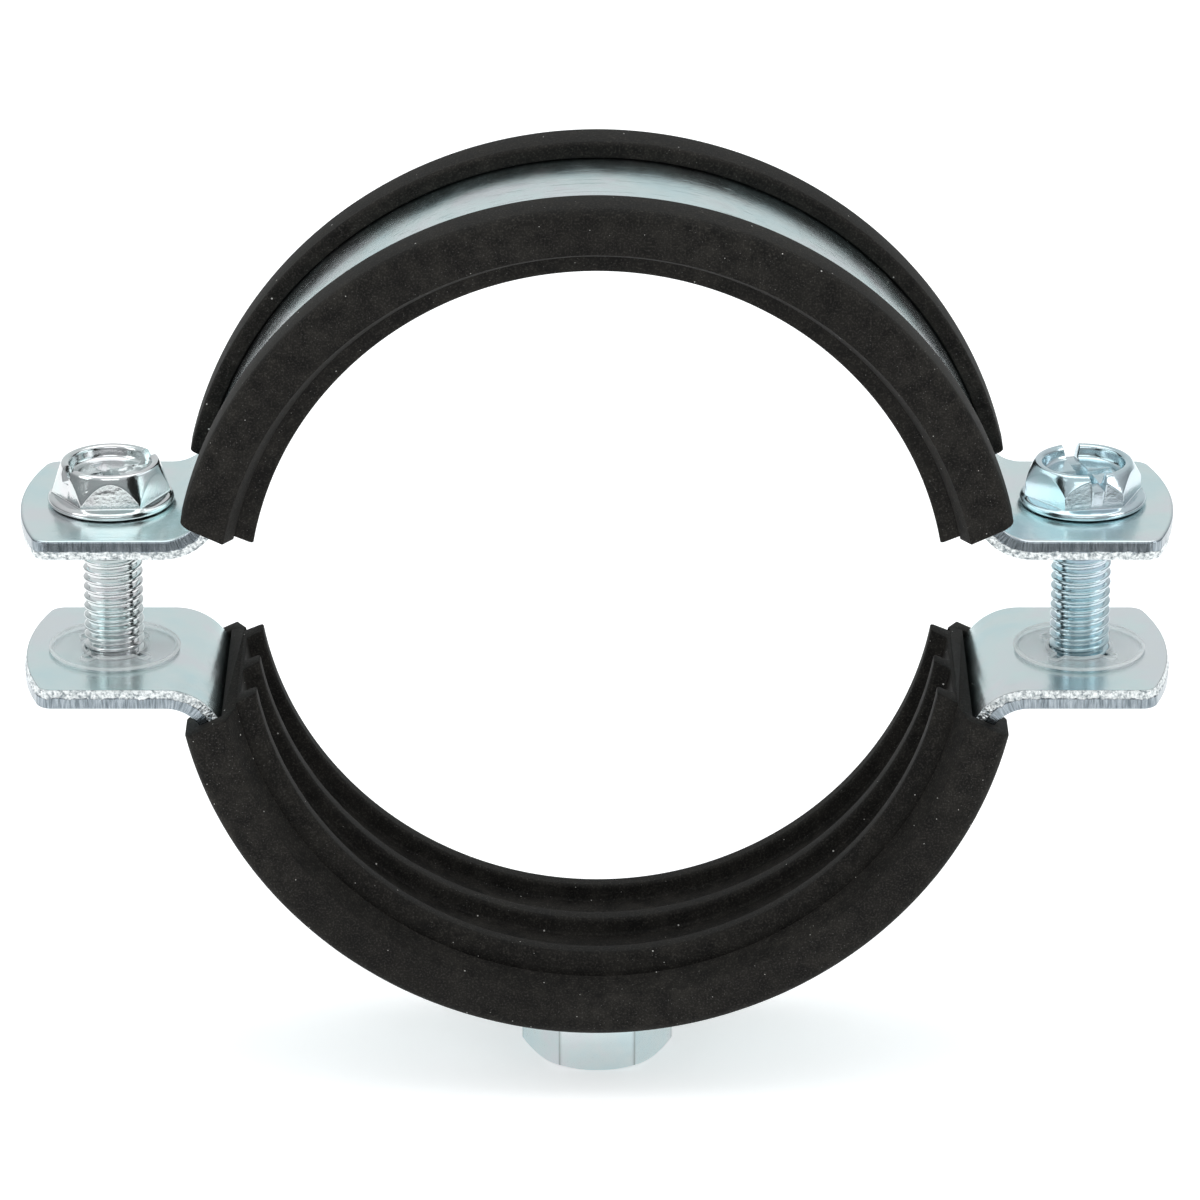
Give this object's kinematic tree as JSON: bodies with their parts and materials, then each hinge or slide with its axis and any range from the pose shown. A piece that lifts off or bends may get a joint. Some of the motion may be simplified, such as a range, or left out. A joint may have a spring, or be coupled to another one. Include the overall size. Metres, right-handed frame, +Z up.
{
  "type": "rubber lined pipe clamp",
  "caption": "Split steel pipe clamp with ribbed rubber linings, hexagon-head screws through flat ears and a threaded connection nut below.",
  "frame": {"origin": "centre of the pipe seat in the lower half, where the pipe's axis runs", "axes": "+X across the clamp from ear to ear, +Y along the pipe, +Z up from the connection nut to the upper half"},
  "size_m": [0.1126, 0.0258, 0.0929],
  "materials": {
    "zinc_plated_strap": "zinc plated and blue passivated, satin",
    "zinc_plated_screw": "zinc plated, fairly bright",
    "zinc_plated_nut": "zinc plated, satin",
    "rubber_lining": "matt black rubber",
    "clear_washer": "milky translucent plastic"
  },
  "bodies": {
    "lower_half": {"lower_band": "zinc_plated_strap", "lower_lining": "rubber_lining", "connection_nut": "zinc_plated_nut", "left_washer": "clear_washer", "right_washer": "clear_washer"},
    "upper_half": {"upper_band": "zinc_plated_strap", "upper_lining": "rubber_lining"},
    "left_screw": {"left_screw": "zinc_plated_screw"},
    "right_screw": {"right_screw": "zinc_plated_screw"}
  },
  "joints": [
    {"name": "upper_half_lift", "type": "slide", "parent": "lower_half", "child": "upper_half", "axis": [0, 0, 1], "range_m": [-0.0125, 0.004]},
    {"name": "left_screw_turn", "type": "hinge", "parent": "upper_half", "child": "left_screw", "pos_m": [-0.04751, 0, 0], "axis": [0, 0, 1], "range_deg": [-4500, 1440]},
    {"name": "right_screw_turn", "type": "hinge", "parent": "upper_half", "child": "right_screw", "pos_m": [0.04751, 0, 0], "axis": [0, 0, 1], "range_deg": [-4500, 1440]}
  ],
  "couplings": [
    {"joint": "left_screw_turn", "follows": "upper_half_lift", "rad_per_m": 6283.2},
    {"joint": "right_screw_turn", "follows": "upper_half_lift", "rad_per_m": 6283.2}
  ]
}
